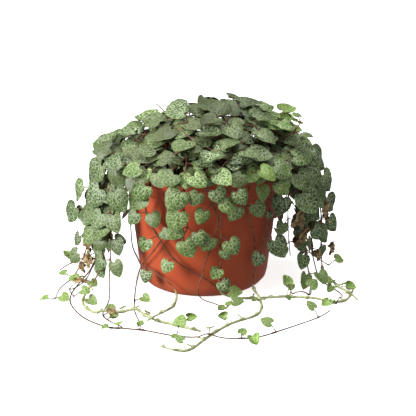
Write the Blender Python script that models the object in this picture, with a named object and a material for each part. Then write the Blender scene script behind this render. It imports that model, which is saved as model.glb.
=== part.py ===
"""A string of hearts (Ceropegia woodii) in its nursery pot: the pot, the soil and each vine as its own solid.

The origin is the middle of the pot's foot, +Z is up and the front is towards -Y. Places round the pot are
given as a bearing (degrees from the front, positive to the right), a gap (millimetres out from the pot's wall
at that height, negative inside the rim) and a level (a share of the pot's height, 1 at the rim).
"""

import math
import random
from itertools import product

import bmesh
import bpy
from mathutils import Matrix, Vector
from mathutils.bvhtree import BVHTree

MM = 0.001

# The pot: a thin moulded shell with a collar below its rim.
RIM_RADIUS = 60 * MM
POT_HEIGHT = 90 * MM
COLLAR_DEPTH = 17 * MM
COLLAR_FLARE = 5.2 * MM
COLLAR_STEP = 1.0 * MM
BODY_TAPER = 7.5 * MM
SHOULDER_HEIGHT = 8.5 * MM
SHOULDER_ROUND = 7.3 * MM
FOOT_WIDTH = 6 * MM
CENTRE_RADIUS = 15 * MM
GUTTER_DEPTH = 2.2 * MM
WALL = 1.3 * MM
DRAIN_COUNT = 6
DRAIN_RADIUS = 3 * MM
POT_SEGMENTS = 40

# The pot's radii follow from the rim inwards: the collar's lower edge, the shoulder and the foot.
COLLAR_RADIUS = RIM_RADIUS - COLLAR_FLARE
SHOULDER_RADIUS = COLLAR_RADIUS - COLLAR_STEP - BODY_TAPER
FOOT_RADIUS = SHOULDER_RADIUS - SHOULDER_ROUND

# The soil: it fills the pot to a little below the rim, slightly domed.
SOIL_BELOW_RIM = 12 * MM
SOIL_DOME = 3 * MM
TOUCH_GAP = 0.3 * MM

# The vines: a three-sided stem with a heart-shaped leaf on a stalk, mostly in opposite pairs.
STEM_RADIUS = 0.9 * MM
STEM_SIDES = 3
STEM_CLEARANCE = 0.8 * MM
STEM_SAG = 0.7 * MM
TUBER_RADIUS = 2.4 * MM
STALK_LENGTH = 4.5 * MM
LEAF_RISE = 1.05 * MM
LEAF_BELLY = 0.65 * MM
LEAF_CLEARANCE = 0.32 * MM
INTERNODE = 16 * MM
DRESSED_DOWN_TO = 9 * MM
SIDE_LEAVES = (18, 11)
BACK_LEAVES = (17, 12)
RIM_LEAVES = (17, 16, 15)

# How the plant finds its room: rounds of pushing stems apart, (turn in degrees, extra room) of each try to lay
# a stem, tries for a leaf, and how far triangles shrink in the test whether a vine crosses itself.
PARTING_ROUNDS = 30
STEM_TRIES = (
    (0, 1), (0, 2), (3, 1), (-3, 1), (6, 1.5), (-6, 1.5), (10, 2), (-10, 2), (15, 2), (-15, 2))
LEAF_TRIES = 16
SHRINK = 0.02
SEED = 11

SOIL = "soil"
TUBER = "tuber"
CLAY = (0.50, 0.115, 0.045)
EARTH = (0.018, 0.012, 0.009)
LEAF_GREEN = (0.075, 0.13, 0.045)

# Half of a heart outline from the notch to the tip, and where the stalk joins the underside, as (across,
# along) shares of the leaf's length.
HALF_HEART = ((0.0, -0.03), (0.27, -0.17), (0.49, 0.08), (0.34, 0.48), (0.0, 0.83))
STALK_ROOT = ((0.0, 0.03), (0.055, 0.13), (-0.055, 0.13))

# Vines that hang: bearing at the rim, gap of the root, how high they rise, then the stations below the rim as
# (bearing, gap, level) or (bearing, gap, level, leaf length in millimetres), one leaf where that is negative
# and an aerial tuber where it says so. Side and back vines have more leaves, at every internode on the way down.
FRONT_VINES = (
    (-34, -24, 1.12, ((-34, 4.5, 0.95, -17), (-38, 5, 0.86, -16), (-43, 5, 0.70, 13), (-35, 5, 0.54, 12),
                      (-23, 5, 0.36, -11), (-8, 4, 0.25), (8, 4, 0.15), (17, 6, 0.04), (40, 20, 0, 8),
                      (54, 33, 0, 7), (58, 52, 0, TUBER), (62, 70, 0, 8), (75, 71, 0))),
    (-12, -27, 1.17, ((-11, 6, 0.95, -20), (-13, 6, 0.78, -19), (-10, 6, 0.63, 13), (-15, 6, 0.54, -16),
                      (-13, 5, 0.42))),
    (2, -20, 1.14, ((2, 5, 0.95, 13), (6, 6, 0.83, 13), (10, 5, 0.68), (3, 4, 0.4), (-4, 4, 0.12),
                    (-4, 8, 0.02), (6, 13, 0), (14, 26, 0, 9))),
    (29, -26, 1.19, ((29, 5, 0.95), (28, 5, 0.80, 14), (38, 4, 0.55), (43, 4, 0.3), (42, 6, 0.08),
                     (36, 29, 0), (26, 43, 0), (12, 50, 0, 7), (2, 68, 0), (-5, 91, 0, 7), (-12, 86, 0))),
    (14, -22, 1.15, ((14, 5, 0.95, 14), (11, 4, 0.72), (10, 5, 0.55, 14), (12, 5, 0.46, -10), (13, 4, 0.29, -11),
                     (11, 4, 0.17, -11), (17, 6, 0.06, -10))),
    (42, -20, 1.14, ((42, 5, 0.95, 15), (46, 4, 0.84), (54, 4, 0.68, -7), (50, 5, 0.47, 19), (44, 5, 0.34, -12))),
    (-22, -20, 1.1, ((-22, 4, 0.95), (-20, 4, 0.74), (-31, 4, 0.5), (-52, 4, 0.26), (-66, 4, 0.12),
                      (-58, 18, 0), (-44, 30, 0, 8), (-34, 44, 0), (-27, 55, 0))),
    (-52, -22, 1.07, ((-52, 6, 0.93), (-60, 7, 0.6), (-67, 5, 0.28), (-45, 5, 0.22, -11), (-30, 6, 0.16),
                      (-21, 7, 0.08, TUBER), (-19, 24, 0), (-24, 45, 0))),
)

LEFT_VINES = (
    (-76, -20, 1.04, ((-75, 12, 0.84), (-73, 17, 0.6), (-70, 20, 0.38), (-66, 26, 0.14), (-52, 44, 0, 10),
                      (-42, 62, 0, 9), (-30, 68, 0))),
    (-83, -28, 1.07, ((-82, 13, 0.84), (-80, 20, 0.62), (-77, 24, 0.4), (-72, 30, 0.16), (-58, 60, 0, 9),
                      (-45, 62, 0), (-36, 45, 0), (-20, 50, 0), (-8, 55, 0, 8), (-1, 60, 0))),
    (-90, -22, 1.04, ((-89, 12, 0.86), (-87, 19, 0.64), (-85, 25, 0.4), (-82, 32, 0.16), (-66, 63, 0),
                      (-48, 72, 0), (-33, 73, 0), (-23, 66, 0), (-9, 69, 0, 10), (7, 71, 0), (16, 75, 0, -13),
                      (25, 72, 0, 9), (36, 69, 0), (45, 70, 0, 8), (53, 69, 0))),
    (-97, -30, 1.1, ((-96, 12, 0.86), (-94, 21, 0.66), (-91, 26, 0.44), (-88, 30, 0.2), (-80, 48, 0, 9),
                     (-70, 62, 0, 10), (-60, 64, 0, 8))),
    (-104, -20, 1.05, ((-102, 14, 0.9), (-98, 29, 0.72), (-95, 36, 0.48), (-92, 38, 0.22), (-86, 56, 0, 8),
                       (-76, 66, 0), (-66, 74, 0, 9))),
    (-111, -28, 1.1, ((-111, 10, 0.86), (-110, 16, 0.6), (-108, 22, 0.35), (-107, 30, 0.12), (-110, 50, 0, 8))),
    (-119, -20, 1.08, ((-118, 10, 0.84), (-118, 20, 0.6), (-117, 28, 0.34), (-114, 40, 0.08),
                       (-104, 62, 0, 9), (-94, 68, 0))),
    (-128, -27, 1.14, ((-128, 8, 0.86), (-128, 13, 0.62), (-129, 18, 0.36))),
)

RIGHT_VINES = (
    (62, -26, 1.2, ((63, 8, 0.92), (64, 12, 0.74), (66, 14, 0.5), (67, 18, 0.28))),
    (72, -20, 1.17, ((72, 10, 0.9), (73, 18, 0.7), (75, 24, 0.46), (76, 27, 0.24), (70, 38, 0.05), (60, 46, 0, 10),
                     (54, 38, 0, 9))),
    (82, -29, 1.27, ((82, 14, 0.94), (82, 24, 0.74), (82, 28, 0.5), (80, 30, 0.28), (78, 42, 0.05), (68, 66, 0),
                     (58, 68, 0, 8))),
    (92, -20, 1.2, ((92, 14, 0.96), (91, 27, 0.76), (90, 34, 0.5), (89, 37, 0.26), (88, 46, 0.03), (80, 57, 0),
                    (70, 62, 0, 8), (66, 78, 0))),
    (102, -27, 1.22, ((102, 10, 0.9), (101, 18, 0.66), (101, 22, 0.42), (100, 26, 0.2))),
    (113, -20, 1.15, ((113, 10, 0.9), (114, 20, 0.66), (113, 26, 0.42), (108, 34, 0.12), (100, 56, 0, 9))),
)

BACK_VINES = (
    (130, -26, 1.2, ((131, 8, 0.88), (133, 14, 0.6), (134, 20, 0.3), (136, 36, 0.02), (146, 50, 0, 9))),
    (148, -20, 1.16, ((148, 9, 0.86), (149, 12, 0.62), (150, 13, 0.4))),
    (165, -28, 1.24, ((165, 8, 0.88), (166, 14, 0.64), (168, 20, 0.36), (170, 34, 0.03), (160, 52, 0, 9))),
    (182, -20, 1.17, ((182, 8, 0.86), (183, 11, 0.66))),
    (199, -27, 1.22, ((199, 9, 0.88), (198, 15, 0.6), (196, 22, 0.32), (190, 40, 0.02), (182, 54, 0, 8))),
    (217, -20, 1.18, ((217, 8, 0.86), (217, 12, 0.6), (218, 16, 0.34))),
)

# Crown vines, in rings: how many, gap of the root, then (turn, gap, level, leaf length) from the root out.
CROWN_RINGS = (
    (5, -50, ((0, -47, 1.14), (12, -40, 1.27, 18), (40, -28, 1.31, 17), (62, -17, 1.25, 16), (80, -7, 1.17, 15))),
    (6, -38, ((0, -37, 1.08), (-10, -30, 1.20, 18), (-32, -19, 1.22, 17), (-52, -8, 1.17, 16), (-68, 2, 1.08, 14))),
    (5, -52, ((0, -54, 1.18), (-20, -48, 1.33, 17), (-70, -36, 1.37, 16), (-100, -25, 1.31, 15))),
    (8, -32, ((0, -31, 1.02), (6, -24, 1.09, 18), (18, -16, 1.12, 18), (32, -9, 1.12, 16))),
)

# Single crown vines that reach out of the mound, each a root and its stations. The mound leans to the right.
SPRIGS = (
    ((95, -38), ((90, -30, 1.15), (86, -16, 1.27), (84, -6, 1.33, 15))),
    ((75, -34), ((74, -22, 1.12), (76, -6, 1.18, 10), (80, 6, 1.27, 9), (82, 9, 1.34, -7))),
    ((-60, -45), ((-50, -40, 1.2), (-75, -38, 1.32), (-85, -27, 1.43))),
    ((150, -52), ((120, -46, 1.28), (80, -36, 1.42, -18))),
)
CROWN_LEAN = 0.055


# ---------------------------------------------------------------- the pot and the soil

def wall_radius(height):
    """The pot's outside radius at a height, and the rim's above it."""
    collar_bottom = POT_HEIGHT - COLLAR_DEPTH
    stops = (
        (0, FOOT_RADIUS),
        (SHOULDER_HEIGHT, SHOULDER_RADIUS),
        (collar_bottom, COLLAR_RADIUS - COLLAR_STEP),
        (collar_bottom + COLLAR_STEP, COLLAR_RADIUS),
        (POT_HEIGHT, RIM_RADIUS),
    )
    for (low, narrow), (high, wide) in zip(stops, stops[1:]):
        if height <= high:
            return narrow + (wide - narrow) * max(height - low, 0) / (high - low)
    return RIM_RADIUS


def rounded_edge(outwards):
    """The curve from the foot up to the shoulder, moved in by the wall for the inside."""
    inset = 0 if outwards else WALL
    points = []
    for step in range(4):
        angle = math.radians(30 * step)
        across = FOOT_RADIUS + (SHOULDER_RADIUS - FOOT_RADIUS) * math.sin(angle)
        height = SHOULDER_HEIGHT * (1 - math.cos(angle))
        points.append((across - inset, height + inset * math.cos(angle)))
    return points


def pot_profile():
    """The shell's section, from the middle of its underside out, up, over the lip and back down inside."""
    foot_inside = FOOT_RADIUS - FOOT_WIDTH
    collar_bottom = POT_HEIGHT - COLLAR_DEPTH
    underside = [(0, 0), (CENTRE_RADIUS, 0), (CENTRE_RADIUS + WALL, GUTTER_DEPTH)]
    underside += [(foot_inside - WALL, GUTTER_DEPTH), (foot_inside, 0)]
    outside = rounded_edge(True)
    outside += [(COLLAR_RADIUS - COLLAR_STEP, collar_bottom)]
    outside += [(COLLAR_RADIUS, collar_bottom + COLLAR_STEP / 2)]
    outside += [(RIM_RADIUS, POT_HEIGHT - WALL), (RIM_RADIUS, POT_HEIGHT)]
    inside = [(RIM_RADIUS - WALL, POT_HEIGHT), (COLLAR_RADIUS - WALL, collar_bottom + WALL)]
    inside += [(COLLAR_RADIUS - COLLAR_STEP - WALL, collar_bottom)]
    inside += rounded_edge(False)[::-1]
    floor = GUTTER_DEPTH + WALL
    inside[-1] = (FOOT_RADIUS - WALL, floor)
    inside[-2] = (inside[-2][0], max(inside[-2][1], floor + WALL))
    inside += [(CENTRE_RADIUS, floor), (CENTRE_RADIUS - WALL, WALL), (0, WALL)]
    return underside + outside + inside


def turned(profile):
    """A turned solid's points and faces; the profile starts and ends on the axis."""
    points = [Vector((0, 0, profile[0][1])), Vector((0, 0, profile[-1][1]))]
    rings = []
    for radius, height in profile[1:-1]:
        ring = []
        for step in range(POT_SEGMENTS):
            angle = math.tau * step / POT_SEGMENTS
            ring.append(len(points))
            points.append(Vector((radius * math.cos(angle), radius * math.sin(angle), height)))
        rings.append(ring)
    faces = []
    for step in range(POT_SEGMENTS):
        following = (step + 1) % POT_SEGMENTS
        faces.append((0, rings[0][following], rings[0][step]))
        faces.append((1, rings[-1][step], rings[-1][following]))
        for lower, upper in zip(rings, rings[1:]):
            faces.append((lower[step], lower[following], upper[following], upper[step]))
    return points, faces


def soil_surface(radius):
    """The height of the soil at a distance from the axis."""
    return POT_HEIGHT - SOIL_BELOW_RIM + SOIL_DOME * (1 - (radius / RIM_RADIUS) ** 2)


def soil_profile():
    """The soil's section, a touch gap clear of the pot's floor and wall."""
    inset = WALL + TOUCH_GAP
    bottom = GUTTER_DEPTH + WALL + TOUCH_GAP
    brim = POT_HEIGHT - SOIL_BELOW_RIM
    collar_bottom = POT_HEIGHT - COLLAR_DEPTH
    sides = [(0, bottom), (FOOT_RADIUS - inset, bottom)]
    sides += [(SHOULDER_RADIUS - inset, SHOULDER_HEIGHT + WALL)]
    sides += [(COLLAR_RADIUS - inset - COLLAR_STEP, collar_bottom)]
    top = wall_radius(min(brim, collar_bottom)) - inset - COLLAR_STEP
    if brim <= collar_bottom:
        sides[-1] = (top, brim)
        return sides + [(top / 2, soil_surface(top / 2)), (0, soil_surface(0))]
    edge = (COLLAR_RADIUS - inset - COLLAR_STEP, brim)
    return sides + [edge, (edge[0] / 2, soil_surface(edge[0] / 2)), (0, soil_surface(0))]


def plain_material(name, colour, roughness):
    material = bpy.data.materials.new(name)
    material.use_nodes = True
    shader = material.node_tree.nodes["Principled BSDF"]
    shader.inputs["Base Color"].default_value = (*colour, 1)
    shader.inputs["Roughness"].default_value = roughness
    shader.inputs["Metallic"].default_value = 0
    return material


def solid(name, points, faces, material, smooth_angle=35):
    """A named object from points and faces, with its normals out and its round faces smooth."""
    mesh = bpy.data.meshes.new(name)
    shape = bmesh.new()
    corners = [shape.verts.new(point) for point in points]
    for face in faces:
        shape.faces.new([corners[index] for index in face])
    bmesh.ops.recalc_face_normals(shape, faces=shape.faces)
    if shape.calc_volume(signed=True) < 0:
        bmesh.ops.reverse_faces(shape, faces=shape.faces)
    shape.to_mesh(mesh)
    shape.free()
    mesh.materials.append(material)
    mesh.shade_smooth()
    mesh.set_sharp_from_angle(angle=math.radians(smooth_angle))
    item = bpy.data.objects.new(name, mesh)
    bpy.context.collection.objects.link(item)
    return item


def cut_drains(pot):
    """Round drain holes through the raised gutter, made by one hidden cutter."""
    shape = bmesh.new()
    middle = (CENTRE_RADIUS + FOOT_RADIUS - FOOT_WIDTH) / 2
    for number in range(DRAIN_COUNT):
        angle = math.tau * (number + 0.5) / DRAIN_COUNT
        made = bmesh.ops.create_cone(
            shape, cap_ends=True, segments=12, radius1=DRAIN_RADIUS, radius2=DRAIN_RADIUS, depth=6 * WALL)
        place = (middle * math.cos(angle), middle * math.sin(angle), GUTTER_DEPTH + WALL / 2)
        bmesh.ops.translate(shape, verts=made["verts"], vec=place)
    mesh = bpy.data.meshes.new("drain_cutter")
    shape.to_mesh(mesh)
    shape.free()
    cutter = bpy.data.objects.new("drain_cutter", mesh)
    bpy.context.collection.objects.link(cutter)
    cutter.hide_render = True
    cutter.display_type = "WIRE"
    holes = pot.modifiers.new("drains", "BOOLEAN")
    holes.operation = "DIFFERENCE"
    holes.object = cutter


# ---------------------------------------------------------------- routes

def place(bearing, gap, level):
    """A point round the pot. On the surface a stem lies at its own radius."""
    turn = math.radians(bearing)
    if level == SOIL:
        reach = wall_radius(POT_HEIGHT) + gap * MM
        height = soil_surface(reach) + TOUCH_GAP + STEM_RADIUS
    else:
        height = max(level * POT_HEIGHT, STEM_RADIUS)
        reach = wall_radius(level * POT_HEIGHT) + gap * MM
    return Vector((reach * math.sin(turn), -reach * math.cos(turn), height))


def smooth_route(knots):
    """A smooth curve through the knots, as closely spaced points with the knots' own indices."""
    ends = [2 * knots[0] - knots[1], *knots, 2 * knots[-1] - knots[-2]]
    points, at_knot = [], []
    for before, start, end, after in zip(ends, ends[1:], ends[2:], ends[3:]):
        spans = [max((b - a).length, MM) ** 0.5 for a, b in ((before, start), (start, end), (end, after))]
        leave = (start - before) / spans[0] - (end - before) / (spans[0] + spans[1]) + (end - start) / spans[1]
        arrive = (end - start) / spans[1] - (after - start) / (spans[1] + spans[2]) + (after - end) / spans[2]
        leave, arrive = leave * spans[1], arrive * spans[1]
        at_knot.append(len(points))
        steps = max(2, round((end - start).length / (2.5 * MM)))
        for step in range(steps):
            t = step / steps
            points.append(
                start * (2 * t**3 - 3 * t**2 + 1) + leave * (t**3 - 2 * t**2 + t)
                + end * (3 * t**2 - 2 * t**3) + arrive * (t**3 - t**2))
    at_knot.append(len(points))
    points.append(knots[-1].copy())
    return points, at_knot


def kept_clear_of_pot(point):
    """The point moved off the pot's wall, rim and soil, and up onto the surface."""
    room = STEM_RADIUS + STEM_CLEARANCE
    reach = math.hypot(point.x, point.y)
    outer, inner = wall_radius(point.z), wall_radius(min(point.z, POT_HEIGHT)) - WALL - COLLAR_STEP
    moved = point.copy()
    if point.z < POT_HEIGHT + room and inner - room < reach < outer + room:
        if point.z > POT_HEIGHT - room:
            moved.z = POT_HEIGHT + room
        elif reach < (inner + outer) / 2:
            moved.xy = point.xy * ((inner - room) / reach)
        else:
            moved.xy = point.xy * ((outer + room) / reach)
    if reach < inner and point.z < POT_HEIGHT:
        moved.z = max(moved.z, soil_surface(reach) + TOUCH_GAP + STEM_RADIUS)
    moved.z = max(moved.z, STEM_RADIUS)
    return moved


def parted(route, stems, room):
    """The route's points pushed off the stems already laid: over them on the surface, aside elsewhere."""
    points = list(route)
    laid = [(a, b) for stem in stems for a, b in zip(stem, stem[1:])]
    near = []
    low = Vector([min(p[axis] for p in points) - room for axis in range(3)])
    high = Vector([max(p[axis] for p in points) + room for axis in range(3)])
    for a, b in laid:
        if all(max(a[i], b[i]) > low[i] and min(a[i], b[i]) < high[i] for i in range(3)):
            near.append((a, b))
    for turn in range(PARTING_ROUNDS):
        pushed = 0
        for index in range(1, len(points)):
            point = points[index]
            for a, b in near:
                along = b - a
                share = min(max((point - a).dot(along) / along.length_squared, 0), 1)
                away = point - (a + along * share)
                if away.length < room:
                    if point.z < 6 * STEM_RADIUS:
                        away = Vector((0, 0, 1))
                    elif away.length < MM / 10:
                        away = Vector((point.x, point.y, 0))
                    point = point + away.normalized() * (room * 0.55)
                    pushed += 1
            points[index] = kept_clear_of_pot(point)
        if not pushed:
            break
        if turn > PARTING_ROUNDS / 2:
            continue
        for index in range(1, len(points) - 1):
            middle = (points[index - 1] + points[index + 1]) / 2
            points[index] = kept_clear_of_pot(points[index].lerp(middle, 0.15))
    return points


def dressed(points, first, rng, first_size, last_size):
    """A pair of leaves at every internode from an index down to the surface, smaller towards the tip."""
    nodes, walked, due = [], 0, INTERNODE / 2
    hanging = [i for i in range(first, len(points)) if points[i].z > DRESSED_DOWN_TO]
    for index in hanging[1:]:
        walked += (points[index] - points[index - 1]).length
        if walked >= due:
            share = (index - first) / len(hanging)
            nodes.append((index, (first_size + (last_size - first_size) * share) * rng.uniform(0.85, 1.15)))
            due += INTERNODE * rng.uniform(0.85, 1.2)
    return nodes


# ---------------------------------------------------------------- one vine's body

def thinned(points, keep):
    """The indices that a line needs to stay within the stem's sag of the route."""
    kept = {0, len(points) - 1} | set(keep)
    stack = list(zip(sorted(kept), sorted(kept)[1:]))
    while stack:
        first, last = stack.pop()
        if last - first < 2:
            continue
        along = points[last] - points[first]
        far, where = 0, None
        for index in range(first + 1, last):
            off = points[index] - points[first]
            share = min(max(off.dot(along) / along.length_squared, 0), 1)
            if (off - along * share).length > far:
                far, where = (off - along * share).length, index
        if far > STEM_SAG:
            kept.add(where)
            stack += [(first, where), (where, last)]
    return sorted(kept)


def outward(point):
    flat = Vector((point.x, point.y, 0))
    return flat.normalized() if flat.length > MM else Vector((0, -1, 0))


def leaf_outline(notch, along, across, length):
    """The heart's edge from the notch, down the right to the tip and back up the left."""
    half = [notch + across * (x * length) + along * (y * length) for x, y in HALF_HEART]
    other = [notch - across * (x * length) + along * (y * length) for x, y in HALF_HEART[-2:0:-1]]
    return half + other


def leaf_body(leaf):
    """A leaf's edge, its top and the three points under it where the stalk joins, and the faces between."""
    notch, along, facing, length = leaf
    across = along.cross(facing)
    edge = leaf_outline(notch, along, across, length)
    top = notch + facing * LEAF_RISE + along * (0.12 * length)
    under = [notch - facing * LEAF_BELLY + across * (x * length) + along * (y * length) for x, y in STALK_ROOT]
    count, tip = len(edge), len(edge) // 2
    near, right, left = count + 1, count + 2, count + 3
    faces = [(i, (i + 1) % count, count) for i in range(count)]
    faces += [(i + 1, i, right) for i in range(1, tip)]
    faces += [(i + 1, i, left) for i in range(tip, count - 1)]
    faces += [(1, 0, near), (0, count - 1, near), (right, 1, near), (count - 1, left, near), (tip, right, left)]
    return edge + [top, *under], faces


def leaf_slab(leaf):
    """A plain slab all round a leaf, which tests the room for it."""
    notch, along, facing, length = leaf
    edge = leaf_outline(notch, along, along.cross(facing), length)
    count = len(edge)
    middle = notch + along * (0.2 * length)
    wide = [point + (point - middle).normalized() * LEAF_CLEARANCE for point in edge]
    upper = [point + facing * LEAF_CLEARANCE for point in wide]
    lower = [point - facing * LEAF_CLEARANCE for point in wide]
    top = notch + facing * (LEAF_RISE + LEAF_CLEARANCE) + along * (0.12 * length)
    under = notch - facing * (LEAF_BELLY + LEAF_CLEARANCE) + along * (0.12 * length)
    faces = [(i, (i + 1) % count, 2 * count) for i in range(count)]
    faces += [(count + (i + 1) % count, count + i, 2 * count + 1) for i in range(count)]
    faces += [(i, count + i, count + (i + 1) % count, (i + 1) % count) for i in range(count)]
    return upper + lower + [top, under], faces


def rod(start, end, radius):
    """A thin four-sided rod, which tests the room for a leaf's stalk."""
    axis = (end - start).normalized()
    side = axis.orthogonal().normalized() * radius
    other = axis.cross(side)
    ring = (side, other, -side, -other)
    points = [start + offset for offset in ring] + [end + offset for offset in ring]
    faces = [(i, (i + 1) % 4, 4 + (i + 1) % 4, 4 + i) for i in range(4)]
    return points, faces


def crossed(points, faces):
    """The numbers of the faces that cross another, where sharing an edge or a corner doesn't count."""
    corners, triangles, owners = [], [], []
    for number, face in enumerate(faces):
        for second, third in zip(face[1:], face[2:]):
            triangle = [points[face[0]], points[second], points[third]]
            middle = sum(triangle, Vector()) / 3
            triangles.append(tuple(range(len(corners), len(corners) + 3)))
            corners += [corner.lerp(middle, SHRINK) for corner in triangle]
            owners.append(number)
    tree = BVHTree.FromPolygons(corners, triangles)
    return {owners[triangle] for pair in tree.overlap(tree) if pair[0] != pair[1] for triangle in pair}


class Obstacles:
    """What already has its place, each with a ball round it so that only neighbours are tested."""

    def __init__(self):
        self.items = []

    def add(self, points, faces):
        middle = sum(points, Vector()) / len(points)
        reach = max((point - middle).length for point in points)
        self.items.append((middle, reach, BVHTree.FromPolygons(points, faces)))

    def hit_by(self, points, faces):
        middle = sum(points, Vector()) / len(points)
        reach = max((point - middle).length for point in points)
        tree = None
        for centre, radius, other in self.items:
            if (centre - middle).length < radius + reach:
                tree = tree or BVHTree.FromPolygons(points, faces)
                if tree.overlap(other):
                    return True
        return False


def on_surface(point):
    """The point, or where it comes up to the surface that the pot stands on."""
    return Vector((point.x, point.y, max(point.z, 0)))


def tube_faces(rings):
    return [(a[i - 1], a[i], b[i], b[i - 1]) for a, b in zip(rings, rings[1:]) for i in range(len(a))]


class Vine:
    """One grown piece: a stem along its route, and the leaves that found room."""

    def __init__(self, name, points, nodes):
        self.name = name
        self.tubers = [index for index, size in nodes if size == TUBER]
        for index in self.tubers:
            points[index].z = max(points[index].z, TUBER_RADIUS)
        self.points = points
        self.nodes = [(index, size) for index, size in nodes if size != TUBER]
        self.spots = {index for index, _ in self.nodes}
        self.leaves = {}
        self.keep = self.spaced(thinned(points, [index for index, _ in nodes]))

    def spaced(self, indices):
        """The indices without the bare ones whose section would cross the section beside it."""
        wanted = {indices[0], indices[-1], *self.spots, *self.tubers}
        kept = [indices[0]]
        for index in indices[1:]:
            if kept[-1] not in wanted and self.crowded(kept[-1], index):
                kept.pop()
            if index in wanted or not self.crowded(kept[-1], index):
                kept.append(index)
        return kept

    def crowded(self, index, following):
        """Whether two sections along the stem leave too little room between them."""
        room = self.sections(index)[-1][0] + self.sections(following)[-1][0] + 1.6 * STEM_RADIUS
        return (self.points[following] - self.points[index]).length < room

    def tangent(self, index):
        before, after = self.points[max(index - 1, 0)], self.points[min(index + 1, len(self.points) - 1)]
        return (after - before).normalized()

    def rings(self, sections_at, face_at, sides=STEM_SIDES):
        """The corners of the stem's sections in order, each turned so that one side faces the given way."""
        side = self.tangent(0).orthogonal().normalized()
        corner_angle = math.tau / sides
        for index in self.keep:
            tangent = self.tangent(index)
            side = (side - tangent * side.dot(tangent)).normalized()
            other = tangent.cross(side)
            towards = face_at(index) or side
            angle = math.atan2(towards.dot(other), towards.dot(side))
            shift = round(angle / corner_angle)
            twist = angle - shift * corner_angle
            for offset, radius in sections_at(index):
                turns = [twist + (corner + 0.5) * corner_angle for corner in range(sides)]
                middle = self.points[index] + tangent * offset
                ways = [side * math.cos(turn) + other * math.sin(turn) for turn in turns]
                yield index, shift, [on_surface(middle + way * radius) for way in ways]

    def stem(self):
        """The bare stem, rounder and a little thicker than it is, for the tests of room."""
        points, numbers = [], []
        for _, _, corners in self.rings(self.fatter, lambda _: None, 6):
            numbers.append(range(len(points), len(points) + 6))
            points += corners
        return points, tube_faces(numbers) + [tuple(numbers[0]), tuple(numbers[-1])]

    def sections(self, index):
        """Where the stem's sections stand at a node, along it, and how thick they are."""
        if index in self.tubers:
            near, far = TUBER_RADIUS * 0.7, TUBER_RADIUS * 1.5
            return (-far, STEM_RADIUS), (-near, TUBER_RADIUS), (near, TUBER_RADIUS), (far, STEM_RADIUS)
        if index in self.spots:
            return (-STEM_RADIUS, STEM_RADIUS), (STEM_RADIUS, STEM_RADIUS)
        return ((0, STEM_RADIUS),)

    def fatter(self, index):
        return [(offset, radius * 1.15) for offset, radius in self.sections(index)]

    def body(self, others):
        """The whole vine as one closed mesh: rings along the stem, and leaves out of its sides at the nodes.

        A leaf that would cross another part of its own vine, or one of the others, is left out.
        """
        while True:
            points, faces, owners = self.joined()
            tree = BVHTree.FromPolygons(points, faces)
            crossing = crossed(points, faces)
            crossing |= {face for other in others for face, _ in tree.overlap(other)}
            spoilt = [owners[face] for face in sorted(crossing) if owners[face]]
            if not spoilt:
                return points, faces
            for index, (back, leaves) in self.leaves.items():
                self.leaves[index] = back, [grown for grown in leaves if grown[0] is not spoilt[0]]

    def joined(self):
        """The vine's points and faces, and for each face the leaf that it belongs to."""
        points, rings, openings = [], [], {}
        done = set()
        backs = {index: back for index, (back, _) in self.leaves.items()}
        for index, shift, corners in self.rings(self.sections, backs.get):
            if index in self.leaves and index not in done:
                done.add(index)
                for leaf, side in self.leaves[index][1]:
                    openings[len(rings), (shift + side) % STEM_SIDES] = leaf
            rings.append(range(len(points), len(points) + STEM_SIDES))
            points += corners
        faces, owners = [], []
        for number, (low, high) in enumerate(zip(rings, rings[1:])):
            for side in range(STEM_SIDES):
                quad = (low[side - 1], low[side], high[side], high[side - 1])
                leaf = openings.get((number, side))
                if leaf:
                    self.grow(points, faces, quad, leaf)
                else:
                    faces.append(quad)
                owners += [leaf] * (len(faces) - len(owners))
        faces += [tuple(rings[0]), tuple(rings[-1])]
        return points, faces, owners + [None, None]

    def grow(self, points, faces, quad, leaf):
        """A leaf and its stalk grown out of one side face of the stem, joined by the shortest clean way."""
        start = len(points)
        leaf_points, leaf_faces = leaf_body(leaf)
        points += leaf_points
        faces += [tuple(start + corner for corner in face) for face in leaf_faces]
        root = tuple(range(len(points) - 3, len(points)))
        grown = faces[-len(leaf_faces):]
        ways = []
        for direction, turn, shift in product((1, -1), range(4), range(3)):
            a, b, c, d = (quad[(turn + i) % 4] for i in range(4))
            e, f, g = (root[(shift + direction * i) % 3] for i in range(3))
            total = sum((points[i] - points[j]).length for i, j in ((a, e), (b, e), (c, f), (d, g)))
            sides = ((a, b, e), (b, c, f), (b, f, e), (c, d, g), (c, g, f), (d, a, e), (d, e, g))
            ways.append((total, sides))
        ways.sort()
        clean = (way for _, way in ways if not crossed(points, grown + list(way)))
        faces += next(clean, ways[0][1])


def facing_and_tip(point, side):
    """How a leaf turns to the light: up in the crown, out on a hanging stem, to the front at the sides."""
    out, up, front = outward(point), Vector((0, 0, 1)), Vector((0, -1, 0))
    level = point.z / POT_HEIGHT
    crown = min(max((level - 0.98) / 0.22, 0), 1)
    lying = 1 if point.z < 7 * MM else 0
    turned_front = min(max(1.05 + 1.3 * out.dot(front), 0), 1) * (0.85 - 0.35 * crown)
    facing = out * (1 - 0.5 * crown - 0.5 * lying) + front * turned_front
    facing = (facing.normalized() * (1 - 0.45 * crown) + up * (0.3 + 0.95 * crown + 0.9 * lying)).normalized()
    tip = side * (0.55 + 0.35 * crown + 0.6 * lying) - up * (1 - crown) + out * (0.75 * crown + 0.4 * lying)
    return facing, tip


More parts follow.
